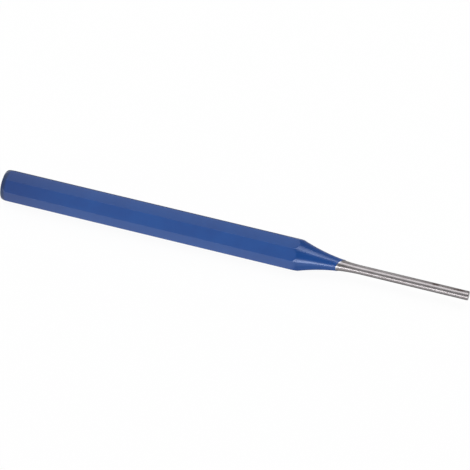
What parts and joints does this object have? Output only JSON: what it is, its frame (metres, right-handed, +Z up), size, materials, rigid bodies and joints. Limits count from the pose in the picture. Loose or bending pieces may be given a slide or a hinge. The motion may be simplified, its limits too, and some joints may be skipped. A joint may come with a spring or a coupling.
{
  "type": "pin punch",
  "caption": "Octagonal-shank pin punch: lacquered grip, hollow-ground taper and a slim parallel round pin for driving out pins.",
  "frame": {"origin": "centre of the bounding box's underside: under the middle of the tool's length, on the surface that its lowest flat lies on", "axes": "+X along the tool from the struck head to the working tip, +Z up, square to the flat it lies on"},
  "size_m": [0.155, 0.01, 0.01],
  "materials": {
    "hardened_steel": "centreless-ground, fine lines round the pin, slightly mottled by heat treatment",
    "blue_lacquer": "gloss dipped lacquer"
  },
  "bodies": {
    "root": {"steel_punch": "hardened_steel", "lacquer_coat": "blue_lacquer"}
  },
  "joints": []
}
